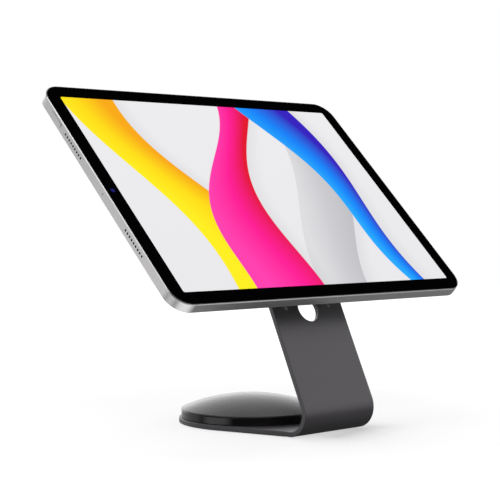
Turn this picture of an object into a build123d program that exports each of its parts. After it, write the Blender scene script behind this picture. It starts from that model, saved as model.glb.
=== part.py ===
from build123d import *
import os
from math import acos, atan2, cos, degrees, radians, sin, sqrt

# Counter-top kiosk stand that locks and carries a tablet.
# Millimetres, +Z up. Origin: on the table top, under the centre of the round
# base. +X runs along the tablet's long side, +Y to the back of the stand, and
# the screen faces -Y and up.

# ------------------------------------------------------------------ base
pad_t = 0.8             # rubber sheet under the base
pad_inset = 2.5         # how far it stays inside the plate's outline
plate_t = 3.0           # thickness of the bent steel plate
plate_r = 45.69         # round end of the base plate
arm_w = 59.86           # width of the arm and of the base at the bend
flare_y = -60.6         # where the straight sides of the base begin
bend_y = -63.11         # centre of the bend
bend_r = 13.68          # outside radius of the bend
arm_lean = 25.15        # the arm leans back from vertical, degrees
edge_r = 0.4            # eased edges of the plate

ring_r = 44.2           # gloss ring between plate and dome
ring_wall = 3.0
ring_h = 4.9
dome_h = 9.7            # rise of the dome above the ring
dome_wall = 2.0
ballast_r = 38.0
ballast_h = 5.0
ballast_step_r = 25.0
ballast_step_h = 3.2
base_screw_r = 30.0     # circle of the three base screws
base_screw_d = 3.7      # shank
boss_r = 4.2

# ------------------------------------------------------------------ arm top
hole_r = 8.2            # round cable hole in the arm
hole_s = 59.8           # its centre, measured up the arm's front face
slit_x = 18.5           # the two slits that part the hinge ears
slit_w = 2.5
slit_s = 61.0           # centre of each slit's round lower end
strip_top = 78.4        # top edge of the arm between the slits

# ------------------------------------------------------------------ tilt hinge
knuckle_r = 5.0
pin_r = 2.5
pin_clear = 0.05        # radial running clearance in the turning knuckle
fixed_clear = 0.02      # radial clearance in the ears

# ------------------------------------------------------------------ tablet
lean = 45.0             # the screen leans back from vertical, degrees
tab_y = -5.0664           # centre of the tablet's back face
tab_z = 140.4864
tab_l = 247.6
tab_h = 178.5
tab_t = 6.4
tab_corner = 12.8
rim = 0.79              # metal rim round the glass
glass_t = 0.8
back_t = 0.9
wall = 1.8
disp_l = 227.2
disp_h = 158.9
side_f = 3.3            # height of the side holes above the back face
spk_d = 1.5             # speaker holes
spk_pitch = 2.516
spk_v = 39.2            # middle of each group of nine holes
btn_v = 62.1            # top button, on the left short side
btn_l = 12.4
btn_w = 2.9
btn_out = 0.3           # buttons stand proud by this much, and travel as far
vol_l = 9.6
vol_x = (-92.0, -80.0)  # volume buttons, on the upper long side
cam_x, cam_v = -108.0, 73.0
fcam_x, fcam_v = -118.3, -0.4
port_w, port_h = 9.0, 3.2

# ------------------------------------------------------------------ dock head
glue_t = 0.4            # adhesive sheet on the tablet's back
adapter_t = 1.0
adapter_r = 44.0
seat_gap = 0.05
padface_t = 0.5         # silicone face of the dock
dock_t = 4.5
dock_r = 46.0
leaf_gap = 0.35
leaf_t = 2.5
leaf_r = 21.0
leaf_w = 34.0
bush_r = 9.0
hub_r = 7.0
stop_r = 14.0           # circle of the swivel stop pin
stop_pin_r = 1.5
lock_v = 33.0
pocket_r = 11.6
pocket_d = 3.45
lock_body_r = 6.5
lock_cyl_r = 4.5
magnet_r = 5.0
magnet_t = 2.5

# ------------------------------------------------------------------ frames
front = Vector(0, -cos(radians(lean)), sin(radians(lean)))
up_tab = Vector(0, sin(radians(lean)), cos(radians(lean)))
tab_c = Vector(0, tab_y, tab_z + pad_t)
tab_plane = Plane(origin=tab_c, x_dir=(1, 0, 0), z_dir=front)

arm_n = Vector(0, -cos(radians(arm_lean)), sin(radians(arm_lean)))
arm_u = Vector(0, sin(radians(arm_lean)), cos(radians(arm_lean)))
bend_c = Vector(0, bend_y, pad_t + bend_r)
arm_0 = bend_c + arm_n * bend_r
arm_plane = Plane(origin=arm_0, x_dir=(1, 0, 0), z_dir=arm_n)

seat_f = -(glue_t + adapter_t + seat_gap)     # front of the dock's silicone face
dock_f = seat_f - padface_t                   # front of the dock plate
dock_b = dock_f - dock_t
leaf_f = dock_b - leaf_gap
leaf_b = leaf_f - leaf_t
pivot_f = leaf_f - knuckle_r

# Tilt axis: rolled into the arm's rear side, with the front of the barrel flush
# with the arm's front face.
start = arm_0 - arm_n * knuckle_r
pivot_s = (pivot_f - (start - tab_c).dot(front)) / arm_u.dot(front)
pivot = start + arm_u * pivot_s
pivot_v = (pivot - tab_c).dot(up_tab)
hinge_plane = Plane(origin=pivot, x_dir=(1, 0, 0), z_dir=(0, -1, 0))
hinge_axis = Axis(pivot, (1, 0, 0))
print(f"tilt axis y {pivot.Y:.3f} z {pivot.Z:.3f}, {pivot_s:.2f} up the arm, v {pivot_v:.2f}")


def tab(f):
    """Plane parallel to the screen, f in front of the tablet's back face."""
    return tab_plane.offset(f)


def tab_point(x, v, f):
    return tab_c + Vector(x, 0, 0) + up_tab * v + front * f


def across(x, p):
    """Plane square to X at x, through the line of p."""
    return Plane(origin=(x, p.Y, p.Z), x_dir=(0, 1, 0), z_dir=(1, 0, 0))


# ------------------------------------------------------------------ outline of the base
corner = (arm_w / 2, flare_y)
reach = sqrt(corner[0] ** 2 + corner[1] ** 2)
turn = degrees(atan2(corner[1], corner[0])) + degrees(acos(plate_r / reach))
tangent = (plate_r * cos(radians(turn)), plate_r * sin(radians(turn)))

# ------------------------------------------------------------------ stand plate
top_s = pivot_s
cv = bend_c
with BuildPart() as stand_plate:
    with BuildSketch(Plane.YZ):
        with BuildLine():
            b0 = (20.0, pad_t)
            b1 = (bend_y, pad_t)
            half = radians(180 - arm_lean)
            m_ang = (radians(270) + half) / 2
            p3 = (arm_0.Y, arm_0.Z)
            tip = arm_0 + arm_u * top_s
            tip_r = tip - arm_n * plate_t
            in0 = cv + arm_n * (bend_r - plate_t)
            Line(b0, b1)
            ThreePointArc(b1, (cv.Y + bend_r * cos(m_ang), cv.Z + bend_r * sin(m_ang)), p3)
            Line(p3, (tip.Y, tip.Z))
            Line((tip.Y, tip.Z), (tip_r.Y, tip_r.Z))
            Line((tip_r.Y, tip_r.Z), (in0.Y, in0.Z))
            r_in = bend_r - plate_t
            ThreePointArc((in0.Y, in0.Z), (cv.Y + r_in * cos(m_ang), cv.Z + r_in * sin(m_ang)), (bend_y, pad_t + plate_t))
            Line((bend_y, pad_t + plate_t), (20.0, pad_t + plate_t))
            Line((20.0, pad_t + plate_t), b0)
        make_face()
    extrude(amount=arm_w / 2, both=True)
    with BuildSketch(Plane.XY.offset(pad_t)):
        Circle(plate_r)
        with BuildLine():
            Polyline(
                (-corner[0], corner[1]), corner, tangent, (-tangent[0], tangent[1]), close=True
            )
        make_face()
    extrude(amount=plate_t)
    # rolled ears
    with BuildSketch(across(-arm_w / 2, pivot)):
        Circle(knuckle_r)
    extrude(amount=arm_w)
    # clear the turning knuckle
    with BuildSketch(arm_plane.offset(4)):
        with Locations((0, strip_top + 15)):
            Rectangle(2 * slit_x + slit_w, 30)
    extrude(amount=-20, mode=Mode.SUBTRACT)
    # slits beside the middle strip, and the cable hole
    with BuildSketch(arm_plane.offset(4)):
        for sx in (-slit_x, slit_x):
            with Locations((sx, slit_s)):
                Circle(slit_w / 2)
            with Locations((sx, (slit_s + strip_top + 2) / 2)):
                Rectangle(slit_w, strip_top + 2 - slit_s)
        with Locations((0, hole_s)):
            Circle(hole_r)
    extrude(amount=-(plate_t + 6), mode=Mode.SUBTRACT)
    with BuildSketch(across(-arm_w / 2 - 1, pivot)):
        Circle(pin_r + fixed_clear)
    extrude(amount=arm_w + 2, mode=Mode.SUBTRACT)
    # countersunk holes for the base screws
    with BuildSketch(Plane.XY.offset(pad_t)):
        with PolarLocations(base_screw_r, 3, start_angle=90):
            Circle(base_screw_d / 2 + 0.2)
    extrude(amount=plate_t, mode=Mode.SUBTRACT)
    with BuildSketch(Plane.XY.offset(pad_t)) as sunk_low:
        with PolarLocations(base_screw_r, 3, start_angle=90):
            Circle(4.1)
    extrude(amount=2.2, taper=45, mode=Mode.SUBTRACT)
    # the sheared edges are eased: the base's outline, the long sides, the ears and the cable hole
    rim_edges = stand_plate.edges().filter_by(
        lambda e: e.length > 40 and abs(e.center().X) > 1 and e.bounding_box().size.Z < 0.01
        or e.geom_type == GeomType.CIRCLE and e.length > 100
    )
    side_edges = stand_plate.edges().filter_by(
        lambda e: e.length > 15 and abs(abs(e.center().X) - arm_w / 2) < 0.01
    )
    fillet(rim_edges + side_edges, edge_r)
    hole_edges = stand_plate.edges().filter_by(
        lambda e: e.geom_type == GeomType.CIRCLE and abs(e.radius - hole_r) < 0.01
    )
    fillet(hole_edges, 0.25)
stand_plate.part.label = "stand_plate"

with BuildPart() as foot_pad:
    with BuildSketch(Plane.XY):
        Circle(plate_r)
        with BuildLine():
            Polyline(
                (-corner[0], corner[1]), corner, tangent, (-tangent[0], tangent[1]), close=True
            )
        make_face()
        offset(amount=-pad_inset)
    extrude(amount=pad_t)
foot_pad.part.label = "foot_pad"

base_top = pad_t + plate_t
ring_top = base_top + ring_h

with BuildPart() as ballast_disc:
    with BuildSketch(Plane.XY.offset(base_top)):
        Circle(ballast_r)
    extrude(amount=ballast_h)
    chamfer(ballast_disc.faces().sort_by(Axis.Z)[-1].edges(), 1.0)
    with BuildSketch(Plane.XY.offset(base_top + ballast_h)):
        Circle(ballast_step_r)
    extrude(amount=ballast_step_h)
    chamfer(ballast_disc.faces().sort_by(Axis.Z)[-1].edges(), 0.8)
    with BuildSketch(Plane.XY.offset(base_top)):
        with PolarLocations(base_screw_r, 3, start_angle=90):
            Circle(base_screw_d / 2 + 0.2)
    extrude(amount=ballast_h + 1, mode=Mode.SUBTRACT)
    # seats of the three bosses in the step's edge
    with BuildSketch(Plane.XY.offset(base_top + ballast_h)):
        with PolarLocations(base_screw_r, 3, start_angle=90):
            Circle(boss_r + 0.5)
    extrude(amount=ballast_step_h + 1, mode=Mode.SUBTRACT)
ballast_disc.part.label = "ballast_disc"

with BuildPart() as trim_ring:
    with BuildSketch(Plane.XY.offset(base_top)):
        Circle(ring_r)
        Circle(ring_r - ring_wall, mode=Mode.SUBTRACT)
    extrude(amount=ring_h)
    fillet(trim_ring.edges().filter_by(GeomType.CIRCLE).sort_by(SortBy.RADIUS)[-2:], 0.45)
trim_ring.part.label = "trim_ring"

lip = 0.7               # short upright edge of the dome
cap_rise = dome_h - lip
cap_R = (ring_r ** 2 + cap_rise ** 2) / (2 * cap_rise)
cap_c = ring_top + dome_h - cap_R
with BuildPart() as dome_cover:
    with BuildSketch(Plane.XZ):
        with BuildLine():
            r_mid = ring_r / 2
            ri = sqrt((cap_R - dome_wall) ** 2 - (cap_R - dome_h) ** 2)
            step_r = ring_r - ring_wall - 0.1
            Line((0, cap_c + cap_R), (0, cap_c + cap_R - dome_wall))
            ThreePointArc(
                (0, cap_c + cap_R - dome_wall),
                (ri / 2, cap_c + sqrt((cap_R - dome_wall) ** 2 - ri ** 2 / 4)),
                (ri, ring_top),
            )
            # locating step inside the ring
            Polyline(
                (ri, ring_top), (ri, ring_top - 1.2), (step_r, ring_top - 1.2), (step_r, ring_top),
                (ring_r - 0.2, ring_top), (ring_r, ring_top + 0.2), (ring_r, ring_top + lip),
            )
            ThreePointArc(
                (ring_r, ring_top + lip),
                (r_mid, cap_c + sqrt(cap_R ** 2 - r_mid ** 2)),
                (0, cap_c + cap_R),
            )
        make_face()
    revolve(axis=Axis.Z)
    fillet(dome_cover.edges().filter_by(GeomType.CIRCLE).filter_by(lambda e: abs(e.radius - ring_r) < 0.01).sort_by(Axis.Z)[-1], 0.5)
    with BuildSketch(Plane.XY.offset(base_top + ballast_h)):
        with PolarLocations(base_screw_r, 3, start_angle=90):
            Circle(boss_r)
    extrude(until=Until.NEXT)
    with BuildSketch(Plane.XY.offset(base_top + ballast_h)):
        with PolarLocations(base_screw_r, 3, start_angle=90):
            Circle(base_screw_d / 2 + 0.03)
    extrude(amount=3.4, mode=Mode.SUBTRACT)
dome_cover.part.label = "dome_cover"

with BuildPart() as base_screws:
    with BuildSketch(Plane.XY.offset(pad_t + 0.1)):
        with PolarLocations(base_screw_r, 3, start_angle=90):
            Circle(3.85)
    extrude(amount=2.0, taper=45)
    with BuildSketch(Plane.XY.offset(pad_t + 0.1)):
        with PolarLocations(base_screw_r, 3, start_angle=90):
            Circle(base_screw_d / 2)
    extrude(amount=plate_t + ballast_h + 2.8)
    with BuildSketch(Plane.XY.offset(pad_t + 0.1)):
        with PolarLocations(base_screw_r, 3, start_angle=90):
            RegularPolygon(1.25, 6)
    extrude(amount=1.4, mode=Mode.SUBTRACT)
base_screws.part.label = "base_screws"

# ------------------------------------------------------------------ tilt hinge
ear_x = arm_w / 2
gap_in = slit_x - slit_w / 2
gap_out = slit_x + slit_w / 2
with BuildPart() as hinge_pin:
    with BuildSketch(hinge_plane):
        with BuildLine():
            Polyline(
                (-ear_x - 2.4, 0), (-ear_x - 2.4, 3.6), (-ear_x - 1.8, 4.2), (-ear_x - 0.1, 4.2),
                (-ear_x - 0.1, pin_r), (ear_x + 7.2, pin_r), (ear_x + 7.7, pin_r - 0.5),
                (ear_x + 7.7, 0), close=True,
            )
        make_face()
    revolve(axis=hinge_axis)
hinge_pin.part.label = "hinge_pin"

with BuildPart() as spring_washers:
    with BuildSketch(hinge_plane):
        x0 = ear_x + 0.06
        with BuildLine():
            Polyline((x0, 5.0), (x0 + 0.6, 5.0), (x0 + 1.05, 2.6), (x0 + 0.45, 2.6), close=True)
        make_face()
        x1 = x0 + 1.12
        with BuildLine():
            Polyline((x1, 2.6), (x1 + 0.6, 2.6), (x1 + 1.05, 5.0), (x1 + 0.45, 5.0), close=True)
        make_face()
    revolve(axis=hinge_axis)
spring_washers.part.label = "spring_washers"

with BuildPart() as pin_nut:
    with BuildSketch(across(ear_x + 2.3, pivot)):
        RegularPolygon(4.6, 6)
        Circle(pin_r + fixed_clear, mode=Mode.SUBTRACT)
    extrude(amount=4.0)
    chamfer(pin_nut.faces().sort_by(Axis.X)[-1].edges().filter_by(GeomType.LINE), 0.4)
pin_nut.part.label = "pin_nut"

with BuildPart() as friction_washers:
    with BuildSketch(across(-gap_out + 0.05, pivot), across(gap_in + 0.05, pivot)):
        Circle(knuckle_r - 0.2)
        Circle(pin_r + pin_clear, mode=Mode.SUBTRACT)
    extrude(amount=slit_w - 0.1)
friction_washers.part.label = "friction_washers"

# ------------------------------------------------------------------ tilt leaf
with BuildPart() as tilt_leaf:
    with BuildSketch(tab(leaf_b)):
        Circle(leaf_r)
        with Locations((0, pivot_v / 2)):
            Rectangle(leaf_w, -pivot_v)
    extrude(amount=leaf_t)
    with BuildSketch(across(-gap_in, pivot)):
        Circle(knuckle_r)
    extrude(amount=2 * gap_in)
    with BuildSketch(across(-gap_in - 1, pivot)):
        Circle(pin_r + pin_clear)
    extrude(amount=2 * gap_in + 2, mode=Mode.SUBTRACT)
    with BuildSketch(tab(leaf_b - 1)):
        Circle(bush_r)
    extrude(amount=leaf_t + 2, mode=Mode.SUBTRACT)
    # half-circle slot that stops the swivel at a quarter turn each way
    with BuildSketch(tab(leaf_b - 1)):
        Circle(stop_r + 1.7)
        Circle(stop_r - 1.7, mode=Mode.SUBTRACT)
        with Locations((0, 15)):
            Rectangle(60, 30, mode=Mode.INTERSECT)
        with Locations((-stop_r, 0), (stop_r, 0)):
            Circle(1.7)
    extrude(amount=leaf_t + 2, mode=Mode.SUBTRACT)
tilt_leaf.part.label = "tilt_leaf"

with BuildPart() as swivel_bush:
    with BuildSketch(tab(leaf_b - 0.6)):
        Circle(bush_r + 2.2)
        Circle(hub_r + 0.05, mode=Mode.SUBTRACT)
    extrude(amount=0.55)
    with BuildSketch(tab(leaf_b - 0.05)):
        Circle(bush_r - 0.02)
        Circle(hub_r + 0.05, mode=Mode.SUBTRACT)
    extrude(amount=leaf_t + 0.05)
swivel_bush.part.label = "swivel_bush"

with BuildPart() as glide_washer:
    with BuildSketch(tab(leaf_f + 0.02)):
        Circle(11.6)
        Circle(hub_r + 0.2, mode=Mode.SUBTRACT)
    extrude(amount=leaf_gap - 0.06)
glide_washer.part.label = "glide_washer"

# ------------------------------------------------------------------ dock head
with BuildPart() as dock_plate:
    with BuildSketch(tab(dock_b)):
        Circle(dock_r)
    extrude(amount=dock_t)
    chamfer(dock_plate.faces().sort_by(Axis(tab_c, front))[0].edges(), 1.2)
    with BuildSketch(tab(dock_f)):
        with Locations((0, lock_v)):
            Circle(pocket_r)
    extrude(amount=-pocket_d, mode=Mode.SUBTRACT)
    with BuildSketch(tab(dock_f)):
        with PolarLocations(33.0, 5, start_angle=150, angular_range=240, rotate=False, endpoint=True):
            Circle(magnet_r + 0.05)
    extrude(amount=-(magnet_t + 0.05), mode=Mode.SUBTRACT)
    with BuildSketch(tab(dock_b)):
        with Locations((0, lock_v)):
            Circle(lock_body_r)
    extrude(amount=dock_t, mode=Mode.SUBTRACT)
    # threaded holes of the hub screws, blind from behind
    with BuildSketch(tab(dock_b)):
        with PolarLocations(4.2, 3, start_angle=90):
            Circle(1.28)
    extrude(amount=3.6, mode=Mode.SUBTRACT)
    with BuildSketch(tab(dock_b)):
        with Locations((0, stop_r)):
            Circle(stop_pin_r)
    extrude(amount=3.0, mode=Mode.SUBTRACT)
dock_plate.part.label = "dock_plate"

with BuildPart() as dock_pad:
    with BuildSketch(tab(dock_f)):
        Circle(dock_r - 1.5)
        with Locations((0, lock_v)):
            Circle(pocket_r + 0.6, mode=Mode.SUBTRACT)
        # the rim beyond the opening is cut away too
        with Locations((0, lock_v + 8)):
            Rectangle(14, 16, mode=Mode.SUBTRACT)
    extrude(amount=padface_t)
dock_pad.part.label = "dock_pad"

with BuildPart() as dock_magnets:
    with BuildSketch(tab(dock_f - 0.02)):
        with PolarLocations(33.0, 5, start_angle=150, angular_range=240, rotate=False, endpoint=True):
            Circle(magnet_r)
    extrude(amount=-(magnet_t - 0.02))
dock_magnets.part.label = "dock_magnets"

with BuildPart() as swivel_hub:
    with BuildSketch(tab(dock_b)):
        Circle(hub_r)
        with PolarLocations(4.2, 3, start_angle=90):
            Circle(1.35, mode=Mode.SUBTRACT)
    extrude(amount=-(leaf_gap + leaf_t + 1.45))
swivel_hub.part.label = "swivel_hub"

hub_end = dock_b - leaf_gap - leaf_t - 1.45
with BuildPart() as swivel_spring:
    # single wave washer between the bush and the retainer
    with BuildSketch(tab(leaf_b - 0.65)):
        Circle(10.8)
        Circle(hub_r + 0.15, mode=Mode.SUBTRACT)
    extrude(amount=-0.72)
swivel_spring.part.label = "swivel_spring"

with BuildPart() as hub_retainer:
    with BuildSketch(tab(hub_end)):
        Circle(12.0)
        with PolarLocations(4.2, 3, start_angle=90):
            Circle(1.35, mode=Mode.SUBTRACT)
    extrude(amount=-1.5)
    chamfer(hub_retainer.faces().sort_by(Axis(tab_c, front))[0].edges().sort_by(SortBy.RADIUS)[-1], 0.5)
hub_retainer.part.label = "hub_retainer"

with BuildPart() as hub_screws:
    with BuildSketch(tab(hub_end - 1.5)):
        with PolarLocations(4.2, 3, start_angle=90):
            Circle(2.2)
    extrude(amount=-1.4)
    fillet(hub_screws.faces().group_by(Axis(tab_c, front))[0].edges(), 0.5)
    with BuildSketch(tab(hub_end - 1.5)):
        with PolarLocations(4.2, 3, start_angle=90):
            Circle(1.25)
    extrude(amount=1.5 + (dock_b - hub_end) + 3.2)
    with BuildSketch(tab(hub_end - 2.9)):
        with PolarLocations(4.2, 3, start_angle=90):
            RegularPolygon(0.85, 6)
    extrude(amount=0.9, mode=Mode.SUBTRACT)
hub_screws.part.label = "hub_screws"

with BuildPart() as stop_pin:
    with BuildSketch(tab(dock_b + 2.9)):
        with Locations((0, stop_r)):
            Circle(stop_pin_r - 0.02)
    extrude(amount=-(2.9 + leaf_gap + leaf_t - 0.3))
    chamfer(stop_pin.faces().sort_by(Axis(tab_c, front))[0].edges(), 0.3)
stop_pin.part.label = "stop_pin"

# ------------------------------------------------------------------ cam lock
pocket_f = dock_f - pocket_d          # floor of the cam pocket
cyl_f = dock_f - 2.45                 # inner end of the turning cylinder
lock_end = dock_b - 13.2
with BuildPart() as lock_body:
    with BuildSketch(tab(pocket_f)):
        with Locations((0, lock_v)):
            Circle(lock_body_r - 0.02)
    extrude(amount=lock_end - pocket_f)
    with BuildSketch(tab(dock_b)):
        with Locations((0, lock_v)):
            Circle(8.2)
    extrude(amount=-2.0)
    fillet(
        lock_body.faces().sort_by(Axis(tab_c, front))[0].edges(), 0.8
    )
    with BuildSketch(tab(pocket_f)):
        with Locations((0, lock_v)):
            Circle(lock_cyl_r + 0.05)
    extrude(amount=lock_end - pocket_f, mode=Mode.SUBTRACT)
lock_body.part.label = "lock_body"

with BuildPart() as lock_cylinder:
    with BuildSketch(tab(cyl_f)):
        with Locations((0, lock_v)):
            Circle(lock_cyl_r)
    extrude(amount=lock_end - 0.5 - cyl_f)
    chamfer(lock_cylinder.faces().sort_by(Axis(tab_c, front))[0].edges(), 0.3)
    with BuildSketch(tab(lock_end - 0.5)):
        with Locations((0, lock_v)):
            Rectangle(1.7, 6.2)
    extrude(amount=7.0, mode=Mode.SUBTRACT)
    with BuildSketch(tab(cyl_f)):
        with Locations((0, lock_v)):
            Circle(1.05)
    extrude(amount=-4.0, mode=Mode.SUBTRACT)
lock_cylinder.part.label = "lock_cylinder"

with BuildPart() as lock_cam:
    with BuildSketch(tab(cyl_f)):
        with Locations((0, lock_v)):
            Circle(4.2)
        with Locations((0, lock_v + 4.5)):
            Rectangle(5.0, 9.0)
        with Locations((0, lock_v)):
            Circle(1.05, mode=Mode.SUBTRACT)
    extrude(amount=1.2)
    fillet(
        lock_cam.edges().filter_by(Axis(tab_c, front)).sort_by(Axis(tab_c, up_tab))[-2:], 1.0
    )
lock_cam.part.label = "lock_cam"

with BuildPart() as cam_screw:
    with BuildSketch(tab(cyl_f + 1.2)):
        with Locations((0, lock_v)):
            Circle(2.1)
    extrude(amount=0.8)
    fillet(cam_screw.faces().sort_by(Axis(tab_c, front))[-1].edges(), 0.3)
    with BuildSketch(tab(cyl_f + 1.2)):
        with Locations((0, lock_v)):
            Circle(1.0)
    extrude(amount=-4.6)
    with BuildSketch(tab(cyl_f + 2.0)):
        with Locations((0, lock_v)):
            Rectangle(2.6, 0.45)
            Rectangle(0.45, 2.6)
    extrude(amount=-0.4, mode=Mode.SUBTRACT)
cam_screw.part.label = "cam_screw"

# ------------------------------------------------------------------ adapter on the tablet
with BuildPart() as adhesive_sheet:
    with BuildSketch(tab(0)):
        Circle(adapter_r - 1.5)
    extrude(amount=-glue_t)
adhesive_sheet.part.label = "adhesive_sheet"

with BuildPart() as adapter_plate:
    with BuildSketch(tab(-glue_t)):
        Circle(adapter_r)
    extrude(amount=-adapter_t)
    chamfer(adapter_plate.faces().sort_by(Axis(tab_c, front))[0].edges(), 0.25)
adapter_plate.part.label = "adapter_plate"

with BuildPart() as keeper_hook:
    with BuildSketch(tab(-glue_t - adapter_t)):
        with Locations((10.2, lock_v)):
            Rectangle(1.2, 6.0)
    extrude(amount=-3.8)
    with BuildSketch(tab(-glue_t - adapter_t - 3.8)):
        with Locations((8.85, lock_v)):
            Rectangle(3.9, 6.0)
    extrude(amount=0.55)
keeper_hook.part.label = "keeper_hook"

# ------------------------------------------------------------------ tablet
left = Plane(origin=tab_point(-tab_l / 2, 0, side_f), x_dir=up_tab, z_dir=(-1, 0, 0))
right = Plane(origin=tab_point(tab_l / 2, 0, side_f), x_dir=up_tab, z_dir=(1, 0, 0))
upper = Plane(origin=tab_point(0, tab_h / 2, side_f), x_dir=(1, 0, 0), z_dir=up_tab)
spk_at = [(g + (i - 4) * spk_pitch, 0) for g in (-spk_v, spk_v) for i in range(9)]

with BuildPart() as tablet_shell:
    with BuildSketch(tab(0)):
        RectangleRounded(tab_l, tab_h, tab_corner)
    extrude(amount=tab_t)
    fillet(tablet_shell.faces().sort_by(Axis(tab_c, front))[0].edges(), 0.3)
    chamfer(tablet_shell.faces().sort_by(Axis(tab_c, front))[-1].edges(), 0.4)
    with BuildSketch(tab(tab_t - glass_t)):
        RectangleRounded(tab_l - 2 * rim + 0.1, tab_h - 2 * rim + 0.1, tab_corner - rim + 0.05)
    extrude(amount=glass_t + 0.1, mode=Mode.SUBTRACT)
    with BuildSketch(tab(back_t)):
        RectangleRounded(tab_l - 2 * wall, tab_h - 2 * wall, tab_corner - wall)
    extrude(amount=tab_t - glass_t - back_t + 0.1, mode=Mode.SUBTRACT)
    # speaker grilles on both short sides
    with BuildSketch(left.offset(0.5)):
        with Locations(*spk_at):
            Circle(spk_d / 2)
    extrude(amount=-(wall + 0.8), mode=Mode.SUBTRACT)
    with BuildSketch(right.offset(0.5)):
        with Locations(*spk_at):
            Circle(spk_d / 2)
    extrude(amount=-(wall + 0.8), mode=Mode.SUBTRACT)
    # microphone hole and the top button's slot
    with BuildSketch(left.offset(0.5)):
        with Locations((-0.3, 0)):
            Circle(0.45)
        with Locations((btn_v, 0)):
            SlotOverall(btn_l, btn_w)
    extrude(amount=-(wall + 0.8), mode=Mode.SUBTRACT)
    # volume buttons
    with BuildSketch(upper.offset(0.5)):
        with Locations(*[(x, 0) for x in vol_x]):
            SlotOverall(vol_l, btn_w)
    extrude(amount=-(wall + 0.8), mode=Mode.SUBTRACT)
    # charging port
    with BuildSketch(right.offset(0.5)):
        SlotOverall(port_w, port_h)
    extrude(amount=-(wall + 0.8), mode=Mode.SUBTRACT)
    # rear camera and flash
    with BuildSketch(tab(-1)):
        with Locations((cam_x, cam_v)):
            Circle(6.9)
        with Locations((cam_x + 13.5, cam_v)):
            Circle(2.5)
    extrude(amount=back_t + 2, mode=Mode.SUBTRACT)
tablet_shell.part.label = "tablet_shell"

with BuildPart() as cover_glass:
    with BuildSketch(tab(tab_t - glass_t)):
        RectangleRounded(tab_l - 2 * rim, tab_h - 2 * rim, tab_corner - rim)
    extrude(amount=glass_t)
    fillet(cover_glass.faces().sort_by(Axis(tab_c, front))[-1].edges(), 0.2)
cover_glass.part.label = "cover_glass"

with BuildPart() as display_panel:
    with BuildSketch(tab(3.65)):
        RectangleRounded(disp_l, disp_h, 1.0)
    extrude(amount=tab_t - glass_t - 3.65)
display_panel.part.label = "display_panel"

with BuildPart() as battery_cells:
    with BuildSketch(tab(1.0)):
        with Locations((-41, 0), (45, 0)):
            RectangleRounded(82, 128, 2.0)
    extrude(amount=2.4)
battery_cells.part.label = "battery_cells"

with BuildPart() as logic_board:
    with BuildSketch(tab(1.6)):
        with Locations((-93.5, -2)):
            Rectangle(16, 126)
    extrude(amount=0.8)
    with BuildSketch(tab(2.4)):
        with Locations((-93.5, 34), (-93.5, 8), (-93.5, -22), (-93.5, -46)):
            Rectangle(12.5, 16)
    extrude(amount=1.0)
    with BuildSketch(tab(1.6)):
        with Locations((-99, 58.5), (-88, 58.5), (-99, -62.5), (-88, -62.5)):
            Circle(0.95)
    extrude(amount=0.8, mode=Mode.SUBTRACT)
logic_board.part.label = "logic_board"

with BuildPart() as board_screws:
    with BuildSketch(tab(back_t)):
        with Locations((-99, 58.5), (-88, 58.5), (-99, -62.5), (-88, -62.5)):
            Circle(0.85)
    extrude(amount=1.5)
    with BuildSketch(tab(2.4)):
        with Locations((-99, 58.5), (-88, 58.5), (-99, -62.5), (-88, -62.5)):
            Circle(1.5)
    extrude(amount=0.6)
board_screws.part.label = "board_screws"

with BuildPart() as speaker_modules:
    with BuildSketch(tab(back_t + 0.1)):
        with Locations((-112.8, spk_v), (-112.8, -spk_v), (112.8, spk_v), (112.8, -spk_v)):
            RectangleRounded(17.6, 24, 2.0)
    extrude(amount=2.5)
speaker_modules.part.label = "speaker_modules"

with BuildPart() as microphone:
    with BuildSketch(left.offset(-wall - 0.1)):
        with Locations((-0.3, 0)):
            RectangleRounded(3.6, 2.6, 0.3)
    extrude(amount=-1.1)
    with BuildSketch(left.offset(-wall - 0.1)):
        with Locations((-0.3, 0)):
            Circle(0.35)
    extrude(amount=-0.5, mode=Mode.SUBTRACT)
microphone.part.label = "microphone"

with BuildPart() as front_camera:
    with BuildSketch(tab(2.4)):
        with Locations((fcam_x, fcam_v)):
            RectangleRounded(5.0, 5.0, 0.6)
    extrude(amount=1.3)
    with BuildSketch(tab(3.7)):
        with Locations((fcam_x, fcam_v)):
            Circle(1.7)
    extrude(amount=1.35)
front_camera.part.label = "front_camera"

with BuildPart() as rear_camera_ring:
    with BuildSketch(tab(-1.5)):
        with Locations((cam_x, cam_v)):
            Circle(6.8)
    extrude(amount=4.4)
    fillet(rear_camera_ring.faces().sort_by(Axis(tab_c, front))[0].edges(), 0.5)
    with BuildSketch(tab(-1.5)):
        with Locations((cam_x, cam_v)):
            Circle(5.0)
    extrude(amount=4.0, mode=Mode.SUBTRACT)
rear_camera_ring.part.label = "rear_camera_ring"

with BuildPart() as rear_camera_lens:
    with BuildSketch(tab(-1.3)):
        with Locations((cam_x, cam_v)):
            Circle(4.95)
    extrude(amount=0.8)
    with BuildSketch(tab(-0.5)):
        with Locations((cam_x, cam_v)):
            Circle(3.6)
    extrude(amount=2.6)
rear_camera_lens.part.label = "rear_camera_lens"

with BuildPart() as camera_flash:
    with BuildSketch(tab(-0.1)):
        with Locations((cam_x + 13.5, cam_v)):
            Circle(2.45)
    extrude(amount=1.2)
camera_flash.part.label = "camera_flash"

with BuildPart() as charging_port:
    with BuildSketch(right.offset(-0.2)):
        SlotOverall(port_w - 0.04, port_h - 0.04)
        SlotOverall(port_w - 0.6, port_h - 0.6, mode=Mode.SUBTRACT)
    extrude(amount=-7.2)
    with BuildSketch(right.offset(-7.4)):
        SlotOverall(port_w - 0.04, port_h - 0.04)
    extrude(amount=-0.8)
    with BuildSketch(right.offset(-7.4)):
        Rectangle(6.4, 0.7)
    extrude(amount=6.2)
charging_port.part.label = "charging_port"

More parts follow.
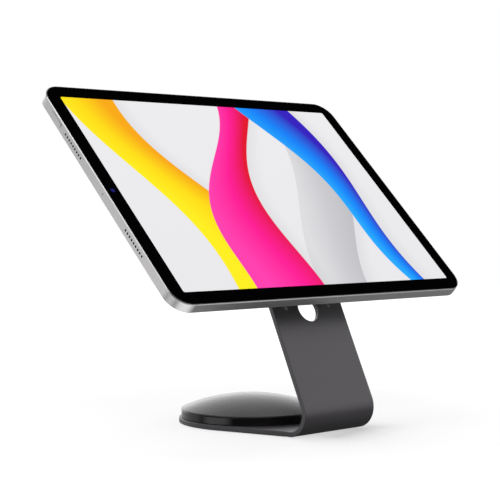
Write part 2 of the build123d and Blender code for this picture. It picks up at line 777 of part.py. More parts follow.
# ------------------------------------------------------------------ buttons and their switches
with BuildPart() as top_button:
    with BuildSketch(left.offset(-wall)):
        with Locations((btn_v, 0)):
            SlotOverall(btn_l - 0.16, btn_w - 0.16)
    extrude(amount=wall + btn_out)
    fillet(top_button.faces().sort_by(Axis.X)[0].edges(), 0.12)
    with BuildSketch(left.offset(-wall - 0.03)):
        with Locations((btn_v, 0)):
            RectangleRounded(btn_l + 1.4, 3.5, 0.5)
    extrude(amount=-0.5)
    with BuildSketch(left.offset(-wall)):
        with Locations((btn_v, 0)):
            Rectangle(6.0, 1.6)
    extrude(amount=-0.2)
top_button.part.label = "top_button"

volume = []
for name, vx in (("volume_up_button", vol_x[0]), ("volume_down_button", vol_x[1])):
    with BuildPart() as volume_button:
        with BuildSketch(upper.offset(-wall)):
            with Locations((vx, 0)):
                SlotOverall(vol_l - 0.16, btn_w - 0.16)
        extrude(amount=wall + btn_out)
        fillet(volume_button.faces().sort_by(Axis(tab_c, up_tab))[-1].edges(), 0.25)
        with BuildSketch(upper.offset(-wall - 0.03)):
            with Locations((vx, 0)):
                RectangleRounded(vol_l + 1.4, 3.5, 0.5)
        extrude(amount=-0.5)
        with BuildSketch(upper.offset(-wall)):
            with Locations((vx, 0)):
                Rectangle(5.0, 1.6)
        extrude(amount=-0.2)
    volume_button.part.label = name
    volume.append(volume_button)

with BuildPart() as button_switches:
    with BuildSketch(left.offset(-wall - 0.95)):
        with Locations((btn_v, 0)):
            Rectangle(4.0, 2.6)
    extrude(amount=-1.0)
    with BuildSketch(upper.offset(-wall - 0.95)):
        with Locations(*[(x, 0) for x in vol_x]):
            Rectangle(4.0, 2.6)
    extrude(amount=-1.0)
button_switches.part.label = "button_switches"

# ------------------------------------------------------------------ output
pieces = [
    stand_plate, foot_pad, ballast_disc, trim_ring, dome_cover, base_screws,
    hinge_pin, spring_washers, pin_nut, friction_washers,
    tilt_leaf, swivel_bush, glide_washer,
    dock_plate, dock_pad, dock_magnets, swivel_hub, swivel_spring, hub_retainer, hub_screws, stop_pin,
    lock_body, lock_cylinder, lock_cam, cam_screw,
    adhesive_sheet, adapter_plate, keeper_hook,
    tablet_shell, cover_glass, display_panel, battery_cells, logic_board, board_screws,
    speaker_modules, microphone, front_camera, rear_camera_ring, rear_camera_lens,
    camera_flash, charging_port, top_button, *volume, button_switches,
]
os.makedirs("parts", exist_ok=True)
for piece in pieces:
    export_step(piece.part, f"parts/{piece.part.label}.step")
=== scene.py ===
import math

import bmesh
import bpy
import numpy as np
from mathutils import Matrix, Vector


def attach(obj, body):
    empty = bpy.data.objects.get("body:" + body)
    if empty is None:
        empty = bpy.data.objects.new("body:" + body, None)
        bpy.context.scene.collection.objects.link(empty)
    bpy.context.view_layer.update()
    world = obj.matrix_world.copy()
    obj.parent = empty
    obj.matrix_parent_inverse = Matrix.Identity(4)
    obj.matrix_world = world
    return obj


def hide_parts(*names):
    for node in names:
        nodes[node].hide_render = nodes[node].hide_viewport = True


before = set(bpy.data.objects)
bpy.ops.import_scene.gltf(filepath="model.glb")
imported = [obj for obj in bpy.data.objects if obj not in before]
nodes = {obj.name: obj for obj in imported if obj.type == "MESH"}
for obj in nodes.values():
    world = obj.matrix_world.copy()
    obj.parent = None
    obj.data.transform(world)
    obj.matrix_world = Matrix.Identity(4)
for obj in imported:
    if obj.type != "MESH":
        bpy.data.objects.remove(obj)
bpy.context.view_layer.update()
scene = bpy.context.scene
MM = 0.001

# ------------------------------------------------------------------ frames
# Tablet frame: x along the long side, v up the screen, f out of the screen,
# measured from the middle of the tablet's back face.
HALF = math.sqrt(0.5)
TAB_C = Vector((0.0, -5.0664, 141.2864)) * MM
TAB_X = Vector((1, 0, 0))
TAB_V = Vector((0, HALF, HALF))
TAB_F = Vector((0, -HALF, HALF))


def tab(x, v, f):
    return TAB_C + (TAB_X * x + TAB_V * v + TAB_F * f) * MM


# ------------------------------------------------------------------ colour helper
def lin(r, g=None, b=None):
    """0-255 display values to the linear colour a shader takes."""
    if g is None:
        g = b = r
    out = []
    for c in (r, g, b):
        c = c / 255.0
        out.append(c / 12.92 if c <= 0.04045 else ((c + 0.055) / 1.055) ** 2.4)
    return (*out, 1.0)


# ------------------------------------------------------------------ node helpers
class Tree:
    def __init__(self, tree):
        self.t = tree

    def node(self, kind, **inputs):
        n = self.t.nodes.new(kind)
        for k, v in inputs.items():
            if hasattr(n, k):
                setattr(n, k, v)
        return n

    def link(self, a, b):
        self.t.links.new(a, b)

    def math(self, op, a, b=None, c=None, clamp=False):
        n = self.t.nodes.new("ShaderNodeMath")
        n.operation = op
        n.use_clamp = clamp
        for i, v in enumerate((a, b, c)):
            if v is None:
                continue
            if isinstance(v, (int, float)):
                n.inputs[i].default_value = v
            else:
                self.link(v, n.inputs[i])
        return n.outputs[0]

    def mix(self, fac, a, b, blend="MIX"):
        n = self.t.nodes.new("ShaderNodeMix")
        n.data_type = "RGBA"
        n.blend_type = blend
        for sock, v in ((n.inputs["Factor"], fac), (n.inputs[6], a), (n.inputs[7], b)):
            if isinstance(v, (int, float)):
                sock.default_value = v
            elif isinstance(v, tuple):
                sock.default_value = v
            else:
                self.link(v, sock)
        return n.outputs[2]

    def noise(self, vector, scale, detail=3.0, rough=0.55, dist=0.0):
        n = self.t.nodes.new("ShaderNodeTexNoise")
        n.inputs["Scale"].default_value = scale
        n.inputs["Detail"].default_value = detail
        n.inputs["Roughness"].default_value = rough
        n.inputs["Distortion"].default_value = dist
        self.link(vector, n.inputs["Vector"])
        return n.outputs["Fac"]

    def ramp(self, fac, *stops):
        n = self.t.nodes.new("ShaderNodeValToRGB")
        el = n.color_ramp.elements
        while len(el) < len(stops):
            el.new(0.5)
        for e, (pos, col) in zip(el, stops):
            e.position = pos
            e.color = col if isinstance(col, tuple) else (col, col, col, 1)
        self.link(fac, n.inputs["Fac"])
        return n.outputs["Color"]

    def span(self, v, a0, a1, b0, b1, smooth=False):
        n = self.t.nodes.new("ShaderNodeMapRange")
        n.clamp = True
        if smooth:
            n.interpolation_type = "SMOOTHSTEP"
        n.inputs["From Min"].default_value = a0
        n.inputs["From Max"].default_value = a1
        n.inputs["To Min"].default_value = b0
        n.inputs["To Max"].default_value = b1
        self.link(v, n.inputs["Value"])
        return n.outputs["Result"]


def scaled(col, k):
    return (col[0] * k, col[1] * k, col[2] * k, 1.0)


def finish_mat(
    name,
    base,
    rough,
    metallic=0.0,
    grain=1800.0,
    bump=0.15,
    depth=0.00004,
    shade=0.08,
    rough_var=0.05,
    cloud=60.0,
    spec=0.5,
    ior=1.5,
    coat=0.0,
    coat_rough=0.05,
    sheen=0.0,
    brushed=None,
    speckle=0.0,
    lathe=None,
):
    """A finish with fine grain in its relief and gloss, and a faint uneven tone."""
    m = bpy.data.materials.new(name)
    m.use_nodes = True
    t = Tree(m.node_tree)
    t.t.nodes.clear()
    out = t.node("ShaderNodeOutputMaterial")
    p = t.node("ShaderNodeBsdfPrincipled")
    t.link(p.outputs[0], out.inputs[0])
    co = t.node("ShaderNodeTexCoord").outputs["Object"]
    grain_co = co
    if brushed is not None:
        mp = t.node("ShaderNodeMapping")
        mp.inputs["Scale"].default_value = brushed
        t.link(co, mp.inputs["Vector"])
        grain_co = mp.outputs[0]
    fine = t.noise(grain_co, grain, 2.5, 0.6)
    soft = t.noise(co, cloud, 3.0, 0.5)
    lo, hi = scaled(base, 1 - shade), scaled(base, 1 + shade)
    tone = t.ramp(soft, (0.3, lo), (0.7, hi))
    if speckle:
        spot = t.noise(co, grain * 0.7, 1.0, 0.5)
        tone = t.mix(t.span(spot, 0.62, 0.74, 0.0, speckle), tone, scaled(base, 2.2))
    t.link(tone, p.inputs["Base Color"])
    p.inputs["Metallic"].default_value = metallic
    p.inputs["IOR"].default_value = ior
    p.inputs["Specular IOR Level"].default_value = spec
    p.inputs["Coat Weight"].default_value = coat
    p.inputs["Coat Roughness"].default_value = coat_rough
    if sheen:
        p.inputs["Sheen Weight"].default_value = sheen
        p.inputs["Sheen Roughness"].default_value = 0.5
    mixed = t.math("ADD", t.math("MULTIPLY", fine, 0.6), t.math("MULTIPLY", soft, 0.4))
    t.link(
        t.span(mixed, 0.3, 0.7, max(0.02, rough - rough_var), min(1.0, rough + rough_var)),
        p.inputs["Roughness"],
    )
    b = t.node("ShaderNodeBump")
    b.inputs["Strength"].default_value = bump
    b.inputs["Distance"].default_value = depth
    t.link(fine, b.inputs["Height"])
    t.link(b.outputs[0], p.inputs["Normal"])
    return m


# ------------------------------------------------------------------ finishes of the record's slots
ARM_GREY = lin(74, 74, 76)
finishes = {
    "coat_dark": finish_mat("coat_dark_finish", lin(68, 65.5, 69), 0.42, grain=2600, bump=0.22, depth=0.00003, shade=0.03, rough_var=0.04, spec=0.75),
    "rubber_black": finish_mat("rubber_finish", lin(38, 38, 39), 0.85, grain=1500, bump=0.5, depth=0.00008, shade=0.12, spec=0.3),
    "steel_plain": finish_mat("zinc_steel_finish", lin(178, 180, 184), 0.34, 1.0, grain=900, bump=0.08, shade=0.09, rough_var=0.1, cloud=140),
    "ring_gloss": finish_mat("gloss_ring_finish", lin(14, 13, 14.4), 0.10, grain=900, bump=0.02, depth=0.00002, shade=0.06, rough_var=0.02, spec=0.4, coat=0.15),
    "dome_satin": finish_mat("dome_finish", lin(49, 47, 50), 0.28, grain=3000, bump=0.07, depth=0.00002, shade=0.03, rough_var=0.03),
    "screw_steel": finish_mat("screw_finish", lin(186, 187, 190), 0.28, 1.0, grain=1600, bump=0.1, shade=0.07, rough_var=0.08),
    "screw_black": finish_mat("black_screw_finish", lin(40, 40, 43), 0.42, 0.9, grain=2000, bump=0.14, shade=0.12, rough_var=0.08),
    "bronze": finish_mat("bronze_finish", lin(168, 124, 72), 0.36, 1.0, grain=1400, bump=0.12, shade=0.12, rough_var=0.1),
    "acetal_white": finish_mat("acetal_finish", lin(226, 225, 220), 0.45, grain=1500, bump=0.06, shade=0.02),
    "alu_dark": finish_mat("black_anodised_finish", lin(58, 59, 62), 0.42, 0.85, grain=3800, bump=0.12, depth=0.00002, shade=0.06, rough_var=0.06),
    "silicone_grey": finish_mat("silicone_finish", lin(82, 84, 88), 0.72, grain=1700, bump=0.3, depth=0.00005, shade=0.05, sheen=0.15, spec=0.35),
    "nickel": finish_mat("nickel_finish", lin(206, 204, 198), 0.16, 1.0, grain=800, bump=0.03, shade=0.04, rough_var=0.04),
    "foam_black": finish_mat("foam_finish", lin(30, 30, 31), 0.95, grain=1200, bump=0.7, depth=0.0001, shade=0.2, spec=0.2),
    "alu_silver": finish_mat("silver_anodised_finish", lin(207, 205.5, 206), 0.32, 1.0, grain=5200, bump=0.04, depth=0.00001, shade=0.012, rough_var=0.02, cloud=30),
    "screen_glass": finish_mat("glass_black_finish", lin(3, 3, 4), 0.03, grain=400, bump=0.004, depth=0.00001, shade=0.1, rough_var=0.01),
    "display": finish_mat("display_stack_finish", lin(24, 25, 28), 0.18, grain=700, bump=0.03, shade=0.1),
    "battery_black": finish_mat("battery_finish", lin(34, 34, 37), 0.4, grain=900, bump=0.2, depth=0.00008, shade=0.1),
    "board_green": finish_mat("board_finish", lin(22, 66, 44), 0.4, grain=1100, bump=0.2, shade=0.2, cloud=400),
    "speaker_black": finish_mat("speaker_finish", lin(22, 22, 23), 0.6, grain=1500, bump=0.2, shade=0.12),
    "lens_black": finish_mat("lens_finish", lin(8, 10, 20), 0.05, grain=500, bump=0.005, shade=0.3, rough_var=0.02, coat=1.0),
    "flash_white": finish_mat("flash_finish", lin(238, 234, 214), 0.2, grain=700, bump=0.15, depth=0.00008, shade=0.04, coat=0.6),
}
for name, o in nodes.items():
    for s in o.material_slots:
        key = s.material.name.split(".")[0] if s.material else None
        if key in finishes:
            s.material = finishes[key]

# ------------------------------------------------------------------ cover glass with the lit screen behind it
DISP_L, DISP_H, DISP_R = 227.2, 158.9, 1.2
GL, GH, GR = 246.02, 176.92, 12.01
GLASS_B, GLASS_F, GLASS_E = 5.6, 6.4, 0.2


def loop(length, height, r, per=14):
    """Points of a rounded rectangle, counter-clockwise seen from the front."""
    pts = []
    for cx, cy, a0 in (
        (length / 2 - r, height / 2 - r, 0),
        (-length / 2 + r, height / 2 - r, 90),
        (-length / 2 + r, -height / 2 + r, 180),
        (length / 2 - r, -height / 2 + r, 270),
    ):
        for i in range(per + 1):
            a = math.radians(a0 + 90 * i / per)
            pts.append((cx + r * math.cos(a), cy + r * math.sin(a)))
    return pts


def bridge(bm, a, b, mat=0, smooth=True):
    n = len(a)
    made = []
    for i in range(n):
        f = bm.faces.new((a[i], a[(i + 1) % n], b[(i + 1) % n], b[i]))
        f.material_index = mat
        f.smooth = smooth
        made.append(f)
    return made


def new_piece(name, bm, mats):
    me = bpy.data.meshes.new(name)
    bm.normal_update()
    bm.to_mesh(me)
    bm.free()
    o = bpy.data.objects.new(name, me)
    scene.collection.objects.link(o)
    for m in mats:
        me.materials.append(m)
    return o


def screen_material():
    """The lit picture: soft overlapping ribbons that run down the screen."""
    m = bpy.data.materials.new("screen_picture")
    m.use_nodes = True
    t = Tree(m.node_tree)
    t.t.nodes.clear()
    out = t.node("ShaderNodeOutputMaterial")
    p = t.node("ShaderNodeBsdfPrincipled")
    t.link(p.outputs[0], out.inputs[0])
    uv = t.node("ShaderNodeUVMap")
    uv.uv_map = "screen"
    sep = t.node("ShaderNodeSeparateXYZ")
    t.link(uv.outputs[0], sep.inputs[0])
    X, Y = sep.outputs[0], sep.outputs[1]          # both in units of 100 mm

    def wave(base, slope, amp, length, phase, amp2=0.0, length2=1.0, phase2=0.0):
        """x of a ribbon's edge at height Y."""
        v = t.math("MULTIPLY_ADD", Y, slope, base)
        s = t.math("SINE", t.math("MULTIPLY_ADD", Y, 2 * math.pi / length, phase))
        v = t.math("MULTIPLY_ADD", s, amp, v)
        if amp2:
            s2 = t.math("SINE", t.math("MULTIPLY_ADD", Y, 2 * math.pi / length2, phase2))
            v = t.math("MULTIPLY_ADD", s2, amp2, v)
        return v

    def ribbon(under, left, right, col_a, col_b, col_c, soft=0.004, shadow=0.10, veil=1.0):
        """Lays one ribbon between two edges on what is under it."""
        dl = t.math("SUBTRACT", X, left)
        dr = t.math("SUBTRACT", right, X)
        inside = t.math(
            "MULTIPLY",
            t.span(dl, -soft / 2, soft / 2, 0, 1),
            t.span(dr, -soft / 2, soft / 2, 0, 1),
        )
        across = t.math("DIVIDE", dl, t.math("MAXIMUM", t.math("SUBTRACT", right, left), 0.02), clamp=True)
        blend = t.math("MULTIPLY_ADD", Y, 0.28, across, clamp=True)
        col = t.ramp(blend, (0.0, col_a), (0.5, col_b), (1.0, col_c))
        # a little darkness that the ribbon lays on what is behind its right edge
        cast = t.span(dr, -0.14, 0.0, 0.0, shadow, smooth=True)
        cast = t.math("MULTIPLY", cast, t.span(dl, -0.02, 0.1, 0, 1))
        under = t.mix(cast, under, lin(120, 116, 124))
        return t.mix(t.math("MULTIPLY", inside, veil), under, col)

    ground = t.ramp(t.math("MULTIPLY_ADD", Y, 0.4, 0.5), (0.0, lin(233, 232, 235)), (1.0, lin(238, 237, 239)))
    pic = ground
    pic = ribbon(pic, wave(0.28, 0.30, 0.10, 2.1, 0.4), wave(0.66, 0.22, 0.13, 1.9, 1.2),
                 lin(222, 222, 225), lin(204, 204, 208), lin(190, 190, 195))
    pic = ribbon(pic, wave(-0.90, -0.16, 0.12, 2.3, 2.6), wave(-0.44, -0.26, 0.14, 2.1, 3.2),
                 lin(255, 240, 20), lin(255, 222, 0), lin(250, 170, 0))
    pic = ribbon(pic, wave(-0.33, 0.42, 0.13, 1.8, 5.2), wave(0.10, 0.30, 0.16, 2.2, 4.6),
                 lin(255, 60, 175), lin(255, 15, 150), lin(228, 0, 40))
    pic = ribbon(pic, wave(0.60, -0.32, 0.09, 1.7, 0.9), wave(0.86, -0.20, 0.12, 2.4, 0.2),
                 lin(30, 170, 255), lin(0, 130, 250), lin(48, 20, 190))
    dots = t.noise(uv.outputs[0], 900.0, 1.0, 0.5)
    pic = t.mix(t.span(dots, 0.3, 0.7, 0.0, 0.02), pic, (1, 1, 1, 1))
    p.inputs["Base Color"].default_value = lin(6)
    p.inputs["Roughness"].default_value = 0.05
    p.inputs["Specular IOR Level"].default_value = 0.3
    t.link(pic, p.inputs["Emission Color"])
    p.inputs["Emission Strength"].default_value = 1.0
    b = t.node("ShaderNodeBump")
    b.inputs["Strength"].default_value = 0.01
    b.inputs["Distance"].default_value = 0.00001
    t.link(t.noise(uv.outputs[0], 260.0, 1.0, 0.5), b.inputs["Height"])
    t.link(b.outputs[0], p.inputs["Normal"])
    return m


def border_material():
    """Black print under the glass, with the small camera window in it."""
    m = bpy.data.materials.new("glass_border")
    m.use_nodes = True
    t = Tree(m.node_tree)
    t.t.nodes.clear()
    out = t.node("ShaderNodeOutputMaterial")
    p = t.node("ShaderNodeBsdfPrincipled")
    t.link(p.outputs[0], out.inputs[0])
    uv = t.node("ShaderNodeUVMap")
    uv.uv_map = "screen"
    sep = t.node("ShaderNodeSeparateXYZ")
    t.link(uv.outputs[0], sep.inputs[0])
    dx = t.math("SUBTRACT", sep.outputs[0], -1.183)
    dy = t.math("SUBTRACT", sep.outputs[1], -0.004)
    r = t.math("SQRT", t.math("ADD", t.math("MULTIPLY", dx, dx), t.math("MULTIPLY", dy, dy)))
    ring = t.ramp(
        t.math("MULTIPLY", r, 25.0),
        (0.0, lin(20, 24, 60)), (0.18, lin(34, 38, 120)), (0.42, lin(10, 10, 34)), (0.46, lin(3, 3, 4)), (1.0, lin(3, 3, 3)),
    )
    smear = t.noise(uv.outputs[0], 3.0, 2.0, 0.5)
    t.link(t.mix(t.span(smear, 0.4, 0.6, 0.0, 0.15), ring, lin(2, 2, 2)), p.inputs["Base Color"])
    t.link(t.span(smear, 0.3, 0.7, 0.025, 0.05), p.inputs["Roughness"])
    p.inputs["Specular IOR Level"].default_value = 0.4
    b = t.node("ShaderNodeBump")
    b.inputs["Strength"].default_value = 0.01
    b.inputs["Distance"].default_value = 0.00001
    t.link(t.noise(uv.outputs[0], 260.0, 1.0, 0.5), b.inputs["Height"])
    t.link(b.outputs[0], p.inputs["Normal"])
    return m


picture = screen_material()
border = border_material()
bm = bmesh.new()
rings = []
edge_steps = 4
flats = [(GLASS_B, 0.0)]
for i in range(edge_steps + 1):
    a = math.radians(90 * i / edge_steps)
    flats.append((GLASS_F - GLASS_E + GLASS_E * math.sin(a), GLASS_E * (1 - math.cos(a))))
for f, inset in flats:
    pts = loop(GL - 2 * inset, GH - 2 * inset, GR - inset)
    rings.append([bm.verts.new(tab(x, v, f)) for x, v in pts])
screen_loop = [bm.verts.new(tab(x, v, GLASS_F)) for x, v in loop(DISP_L, DISP_H, DISP_R)]
for a, b in zip(rings[:-1], rings[1:]):
    bridge(bm, a, b, 1)
bridge(bm, rings[-1], screen_loop, 1, smooth=False)
face = bm.faces.new(screen_loop)
face.material_index = 0
back = bm.faces.new(list(reversed(rings[0])))
back.material_index = 1
layer = bm.loops.layers.uv.new("screen")
for f in bm.faces:
    for lp in f.loops:
        d = lp.vert.co - TAB_C
        lp[layer].uv = (d.dot(TAB_X) / MM / 100, d.dot(TAB_V) / MM / 100)
glass = new_piece("cover_glass_screen", bm, [picture, border])
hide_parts("cover_glass")
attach(glass, "tablet")

# ------------------------------------------------------------------ floor
bm = bmesh.new()
bmesh.ops.create_circle(bm, cap_ends=True, segments=96, radius=1.6)
floor = new_piece("studio_floor", bm, [])
m = bpy.data.materials.new("studio_floor_paint")
m.use_nodes = True
t = Tree(m.node_tree)
p = m.node_tree.nodes["Principled BSDF"]
co = t.node("ShaderNodeTexCoord").outputs["Object"]
n = t.noise(co, 8.0, 2.0, 0.5)
t.link(t.ramp(n, (0.0, (0.225, 0.225, 0.225, 1)), (1.0, (0.235, 0.235, 0.235, 1))), p.inputs["Base Color"])
p.inputs["Roughness"].default_value = 1.0
p.inputs["Specular IOR Level"].default_value = 0.0
p.inputs["Emission Color"].default_value = (1, 1, 1, 1)
away = t.node("ShaderNodeVectorMath")
away.operation = "LENGTH"
t.link(co, away.inputs[0])
# painted shade: the floor's own glow is dimmer near the stand and full further out
lit = t.span(away.outputs["Value"], 0.12, 0.60, 0.71, 0.975, smooth=True)
# painted contact shadow: the floor's glow is dimmed along the soft dark line where the bend meets the floor
fsep = t.node("ShaderNodeSeparateXYZ")
t.link(co, fsep.inputs[0])
ax, ay, bx, by = -0.004, -0.078, 0.036, -0.068
along = t.math(
    "MULTIPLY_ADD", t.math("SUBTRACT", fsep.outputs[0], ax), (bx - ax) / ((bx - ax) ** 2 + (by - ay) ** 2),
    t.math("MULTIPLY", t.math("SUBTRACT", fsep.outputs[1], ay), (by - ay) / ((bx - ax) ** 2 + (by - ay) ** 2)), clamp=True)
near_x = t.math("SUBTRACT", fsep.outputs[0], t.math("MULTIPLY_ADD", along, bx - ax, ax))
near_y = t.math("SUBTRACT", fsep.outputs[1], t.math("MULTIPLY_ADD", along, by - ay, ay))
gap = t.math("SQRT", t.math("ADD", t.math("MULTIPLY", near_x, near_x), t.math("MULTIPLY", near_y, near_y)))
lit = t.math("MULTIPLY", lit, t.ramp(t.math("MULTIPLY", gap, 20.0), (0.0, 0.66), (0.1, 0.74), (0.26, 0.87), (0.5, 0.965), (0.75, 0.995), (1.0, 1.0)))
t.link(lit, p.inputs["Emission Strength"])
floor.data.materials.append(m)
nt = m.node_tree
clear = t.node("ShaderNodeBsdfTransparent")
pick = t.node("ShaderNodeMixShader")
side = t.node("ShaderNodeNewGeometry")
t.link(side.outputs["Backfacing"], pick.inputs[0])
t.link(p.outputs[0], pick.inputs[1])
t.link(clear.outputs[0], pick.inputs[2])
t.link(pick.outputs[0], nt.nodes["Material Output"].inputs[0])
floor.location.z = 0.0003
floor.visible_glossy = False
floor.visible_diffuse = False

# painted shade: a dark disc under the floor, hidden from the camera, darkens what the stand's underside sees below it
bm = bmesh.new()
bmesh.ops.create_circle(bm, cap_ends=True, segments=64, radius=0.075)
under = new_piece("floor_contact", bm, [])
m = bpy.data.materials.new("painted_shade_disc_paint")
m.use_nodes = True
t = Tree(m.node_tree)
p = m.node_tree.nodes["Principled BSDF"]
co = t.node("ShaderNodeTexCoord").outputs["Object"]
t.link(t.ramp(t.noise(co, 8.0, 2.0, 0.5), (0.0, (0.05, 0.05, 0.05, 1)), (1.0, (0.07, 0.07, 0.07, 1))), p.inputs["Base Color"])
p.inputs["Roughness"].default_value = 1.0
p.inputs["Specular IOR Level"].default_value = 0.0
p.inputs["Emission Color"].default_value = (1, 1, 1, 1)
p.inputs["Emission Strength"].default_value = 0.06
under.data.materials.append(m)
# painted dark reflection: only what lies close to it sees it in its gloss
ray = t.node("ShaderNodeLightPath")
clear = t.node("ShaderNodeBsdfTransparent")
pick = t.node("ShaderNodeMixShader")
far = t.math("MULTIPLY", ray.outputs["Is Glossy Ray"], t.math("GREATER_THAN", ray.outputs["Ray Length"], 0.035))
t.link(far, pick.inputs[0])
t.link(p.outputs[0], pick.inputs[1])
t.link(clear.outputs[0], pick.inputs[2])
t.link(pick.outputs[0], m.node_tree.nodes["Material Output"].inputs[0])
under.location = (0.0, -0.03, -0.0008)
under.visible_camera = False
under.visible_shadow = False

# ------------------------------------------------------------------ studio light
world = bpy.data.worlds.new("studio")
scene.world = world
world.use_nodes = True
t = Tree(world.node_tree)
t.t.nodes.clear()
out = t.node("ShaderNodeOutputWorld")
bg = t.node("ShaderNodeBackground")
bg_cam = t.node("ShaderNodeBackground")
bg_cam.inputs["Color"].default_value = (1, 1, 1, 1)
bg_cam.inputs["Strength"].default_value = 1.0
pathn = t.node("ShaderNodeLightPath")
mixs = t.node("ShaderNodeMixShader")
co = t.node("ShaderNodeTexCoord").outputs["Generated"]
sep = t.node("ShaderNodeSeparateXYZ")
t.link(co, sep.inputs[0])
z = sep.outputs[2]
height = t.math("MULTIPLY_ADD", z, 0.5, 0.5)
flat = t.math("MAXIMUM", t.math("SQRT", t.math("SUBTRACT", 1.0, t.math("MULTIPLY", z, z))), 0.001)
# how far a direction lies towards the cove wall behind and to the left of the stand
toward = t.math("DIVIDE", t.math("MULTIPLY_ADD", sep.outputs[1], 0.985, t.math("MULTIPLY", sep.outputs[0], -0.174)), flat)
cove = t.ramp(
    height,
    (0.0, 0.05), (0.36, 0.10), (0.42, 0.55), (0.45, 0.86), (0.56, 0.92), (0.62, 0.70), (0.70, 0.48), (0.80, 0.34), (0.90, 0.22), (1.0, 0.05),
)
open_side = t.ramp(
    height,
    (0.0, 0.04), (0.42, 0.04), (0.485, 0.08), (0.5, 0.2), (0.56, 0.3), (0.66, 0.2), (0.74, 0.04), (0.80, 0.0), (1.0, 0.0),
)
# a narrow bright strip low on the front right draws the light line along the edges
strip = t.math(
    "MULTIPLY",
    t.span(t.math("ABSOLUTE", t.math("ADD", z, 0.02)), 0.05, 0.13, 1.0, 0.0, smooth=True),
    t.span(t.math("DIVIDE", t.math("MULTIPLY_ADD", sep.outputs[1], -0.88, t.math("MULTIPLY", sep.outputs[0], 0.475)), flat), 0.88, 0.985, 0.0, 1.0, smooth=True),
)
open_side = t.mix(strip, open_side, (1.3, 1.3, 1.3, 1))
# and a low one on the left shows in the gloss of the ring
strip = t.math(
    "MULTIPLY",
    t.span(t.math("ABSOLUTE", t.math("ADD", z, 0.14)), 0.06, 0.14, 1.0, 0.0, smooth=True),
    t.span(t.math("DIVIDE", t.math("MULTIPLY_ADD", sep.outputs[1], 0.225, t.math("MULTIPLY", sep.outputs[0], -0.974)), flat), 0.86, 0.995, 0.0, 1.0, smooth=True),
)
middle = t.math("DIVIDE", t.math("MULTIPLY_ADD", sep.outputs[1], 0.906, t.math("MULTIPLY", sep.outputs[0], 0.423)), flat)
gain = t.span(middle, 0.2, 0.97, 0.30, 2.6, smooth=True)
# the wall is dimmer below the horizon
low_gain = t.math("MINIMUM", gain, 0.85)
rise = t.span(z, -0.03, 0.10, 0.0, 1.0, smooth=True)
gain = t.math("ADD", low_gain, t.math("MULTIPLY", rise, t.math("SUBTRACT", gain, low_gain)))
cove = t.mix(1.0, cove, t.ramp(t.math("MULTIPLY", gain, 0.25), (0.0, 0.0), (1.0, 4.0)), "MULTIPLY")
sky = t.mix(t.span(toward, 0.1, 0.6, 0.0, 1.0, smooth=True), open_side, cove)
# a low reflector on the right lights the underside of the edges
below = t.math("MULTIPLY", t.span(z, -0.62, -0.30, 1.0, 0.0, smooth=True), t.span(sep.outputs[1], -0.62, -0.30, 0.0, 1.0, smooth=True))
floor_tone = t.ramp(height, (0.0, 1.35), (0.045, 1.25), (0.10, 0.27), (0.14, 0.165))
sky = t.mix(below, sky, floor_tone)
# paler ground out to both sides, which the back of the tablet shows from behind
for gx, gy, gz, tone in ((0.95, -0.02, -0.30, 0.38), (-0.84, 0.22, -0.49, 0.92)):
    ground = t.math("ADD", t.math("MULTIPLY_ADD", sep.outputs[1], gy, t.math("MULTIPLY", sep.outputs[0], gx)), t.math("MULTIPLY", z, gz))
    sky = t.mix(t.span(ground, 0.90, 0.98, 0.0, 1.0, smooth=True), sky, (tone, tone, tone, 1))
# a calmer tone low in the bright wall, left of the dome's part, for the tablet's upper corner
corner = t.math("ADD", t.math("MULTIPLY_ADD", sep.outputs[1], 0.91, t.math("MULTIPLY", sep.outputs[0], -0.35)), t.math("MULTIPLY", z, 0.21))
sky = t.mix(t.span(corner, 0.93, 0.985, 0.0, 1.0, smooth=True), sky, (0.82, 0.82, 0.82, 1))
# a large soft reflector high on the front right gives the arm's face its even sheen
front = t.math("ADD", t.math("MULTIPLY_ADD", sep.outputs[1], -0.65, t.math("MULTIPLY", sep.outputs[0], 0.62)), t.math("MULTIPLY", z, 0.44))
sky = t.mix(t.span(front, 0.829, 0.951, 0.0, 1.0, smooth=True), sky, (1.02, 1.0, 1.03, 1))
# a soft one high on the left lights the eased left edge of the tablet
upper = t.math("ADD", t.math("MULTIPLY_ADD", sep.outputs[1], -0.14, t.math("MULTIPLY", sep.outputs[0], -0.53)), t.math("MULTIPLY", z, 0.835))
sky = t.mix(t.span(upper, 0.90, 0.975, 0.0, 1.0, smooth=True), sky, (0.95, 0.95, 0.95, 1))
upper = t.math("ADD", t.math("MULTIPLY_ADD", sep.outputs[1], 0.09, t.math("MULTIPLY", sep.outputs[0], -0.50)), t.math("MULTIPLY", z, 0.861))
sky = t.mix(t.span(upper, 0.974, 0.997, 0.0, 1.0, smooth=True), sky, (2.8, 2.8, 2.8, 1))
sky = t.mix(strip, sky, (1.15, 1.15, 1.15, 1))
t.link(sky, bg.inputs["Color"])
bg.inputs["Strength"].default_value = 1.0
t.link(pathn.outputs["Is Camera Ray"], mixs.inputs[0])
t.link(bg.outputs[0], mixs.inputs[1])
t.link(bg_cam.outputs[0], mixs.inputs[2])
t.link(mixs.outputs[0], out.inputs[0])


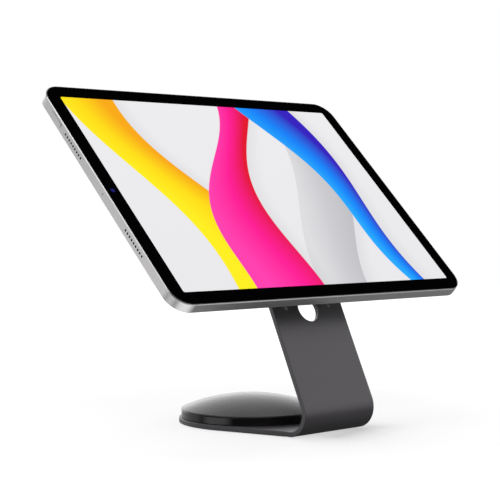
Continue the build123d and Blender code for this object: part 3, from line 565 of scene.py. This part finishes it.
def softbox(name, at, to, size, power, size_y=None, glossy=True):
    li = bpy.data.lights.new(name, "AREA")
    li.shape = "RECTANGLE"
    li.size = size
    li.size_y = size_y or size
    li.energy = power
    o = bpy.data.objects.new(name, li)
    scene.collection.objects.link(o)
    o.location = at
    d = Vector(to) - Vector(at)
    o.rotation_mode = "QUATERNION"
    o.rotation_quaternion = d.to_track_quat("-Z", "Y")
    o.visible_camera = False
    o.visible_glossy = glossy
    return o


aim = (0.0, -0.02, 0.10)
softbox("key_front_left", (-0.95, -1.45, 1.42), aim, 1.0, 21, glossy=False)
softbox("fill_top", (0.1, 1.0, 2.1), aim, 2.2, 44, glossy=False)
softbox("fill_left", (-1.5, 0.12, 0.3), (0.0, 0.0, 0.1), 0.9, 5, size_y=0.6, glossy=False)
softbox("fill_right", (1.7, -0.9, 0.9), aim, 1.2, 5, glossy=False)
softbox("side_card", (1.6, 0.15, 0.22), (0.0, 0.0, 0.12), 1.3, 4.5, size_y=0.8)
softbox("floor_card", (0.0, 1.35, 0.002), (0.0, 1.35, 1.0), 3.2, 15.0, size_y=2.2)

# ------------------------------------------------------------------ camera
cam = bpy.data.cameras.new("photo_camera")
cam.sensor_width = 36.0
cam.sensor_fit = "HORIZONTAL"
cam.lens = 1462.9736 / 500 * 36.0
cam.clip_start, cam.clip_end = 0.01, 100
yaw, pitch, roll = (math.radians(v) for v in (43.629255, 1.717221, -0.038146))
fw = Vector((math.sin(yaw) * math.cos(pitch), math.cos(yaw) * math.cos(pitch), -math.sin(pitch)))
rt = fw.cross(Vector((0, 0, 1))).normalized()
up = rt.cross(fw)
c, s = math.cos(roll), math.sin(roll)
rt2, up2 = c * rt + s * up, -s * rt + c * up
camo = bpy.data.objects.new("photo_camera", cam)
scene.collection.objects.link(camo)
mat = Matrix.Identity(4)
for i in range(3):
    mat[i][0], mat[i][1], mat[i][2] = rt2[i], up2[i], -fw[i]
mat[0][3], mat[1][3], mat[2][3] = -0.6369777, -0.6670665, 0.1365016
camo.matrix_world = mat
scene.camera = camo

scene.view_settings.view_transform = "Standard"
scene.view_settings.look = "None"
scene.view_settings.exposure = 0.0
scene.view_settings.gamma = 1.0
